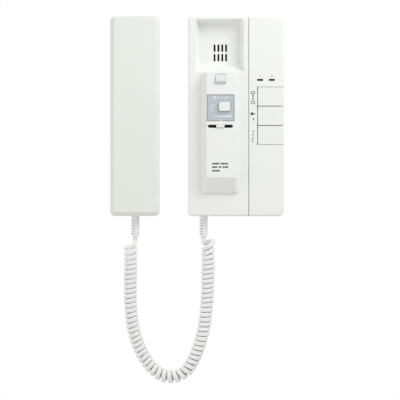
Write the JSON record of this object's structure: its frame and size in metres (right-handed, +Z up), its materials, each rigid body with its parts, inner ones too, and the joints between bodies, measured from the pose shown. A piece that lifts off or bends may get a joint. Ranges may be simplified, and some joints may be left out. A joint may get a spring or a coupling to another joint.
{
  "type": "audio intercom handset station",
  "caption": "Wall intercom station with an ear recess, a post with a hook switch, push keys and a slider, and a corded handset beside it.",
  "frame": {"origin": "middle of the station's face on the wall, between its two wall screws", "axes": "+X to the right as seen from the room, +Y into the wall, +Z up"},
  "size_m": [0.1737, 0.05, 0.3691],
  "materials": {
    "housing": "fine moulded grain, off-white",
    "key": "smooth moulded, off-white",
    "knob": "smooth moulded, white",
    "cord": "smooth soft plastic, light grey",
    "plate": "satin blue-grey sheet",
    "window": "polished, dark red",
    "lamp": "diffused red",
    "steel": "zinc plated",
    "spring_steel": "bright rolled",
    "board": "green varnish",
    "black_part": "moulded, black",
    "terminal": "moulded, dark green",
    "brass": "turned",
    "core": "varnished laminations",
    "capacitor": "shrunk sleeve",
    "speaker_metal": "black",
    "paper": "pressed paper",
    "magnet": "ground",
    "foam": "fine foam",
    "capsule": "drawn can"
  },
  "bodies": {
    "station": {"cradle_cover": "housing", "hook_pin": "steel", "function_plate": "plate", "slide_potentiometer": "black_part", "post_board": "board", "post_board_screws": "steel", "button_switch": "black_part", "hook_switch": "black_part", "hook_spring": "spring_steel", "rear_housing": "housing", "wall_bracket": "steel", "cover_screws": "steel", "main_board": "board", "main_board_screws": "steel", "terminal_block": "terminal", "terminal_screws": "brass", "line_transformer": "core", "capacitors": "capacitor", "speaker_gasket": "foam", "speaker_frame": "speaker_metal", "speaker_cone": "paper", "speaker_magnet": "magnet", "panel_cover": "housing", "key_switches": "black_part", "indicator_windows": "window", "indicator_lamps": "lamp", "lamp_spacers": "black_part", "base_cord_boot": "cord", "curly_cord": "cord"},
    "hook": {"hook_lever": "key"},
    "lower_key": {"lower_key": "key"},
    "middle_key": {"middle_key": "key"},
    "upper_key": {"upper_key": "key"},
    "plate_button": {"plate_button": "key"},
    "volume_knob": {"volume_knob": "knob", "slider_carriage": "black_part"},
    "handset": {"handset_inner_shell": "housing", "handset_outer_shell": "housing", "receiver_pad": "foam", "receiver_capsule": "capsule", "microphone_sleeve": "foam", "microphone_capsule": "capsule", "handset_screws": "steel", "handset_weight": "steel", "handset_cord_boot": "cord"}
  },
  "joints": [
    {"name": "hook_swing", "type": "hinge", "parent": "station", "child": "hook", "pos_m": [-0.0155, -0.0434, 0.0389], "axis": [1, 0, 0], "range_deg": [0, 15], "stiffness_Nm_per_rad": 0.02, "springref_deg": -5.73, "deforming": ["hook_spring"]},
    {"name": "lower_key_press", "type": "slide", "parent": "station", "child": "lower_key", "axis": [0, 1, 0], "range_m": [0, 0.0012], "stiffness_N_per_m": 800, "springref_m": -0.0004},
    {"name": "middle_key_press", "type": "slide", "parent": "station", "child": "middle_key", "axis": [0, 1, 0], "range_m": [0, 0.0012], "stiffness_N_per_m": 800, "springref_m": -0.0004},
    {"name": "upper_key_press", "type": "slide", "parent": "station", "child": "upper_key", "axis": [0, 1, 0], "range_m": [0, 0.0012], "stiffness_N_per_m": 800, "springref_m": -0.0004},
    {"name": "plate_button_press", "type": "slide", "parent": "station", "child": "plate_button", "axis": [0, 1, 0], "range_m": [0, 0.0015], "stiffness_N_per_m": 700, "springref_m": -0.0004},
    {"name": "volume_slide", "type": "slide", "parent": "station", "child": "volume_knob", "axis": [1, 0, 0], "range_m": [-0.007, 0.007]},
    {"name": "handset_lift", "type": "slide", "parent": "station", "child": "handset", "axis": [0, -1, 0], "range_m": [0, 0.12]}
  ]
}
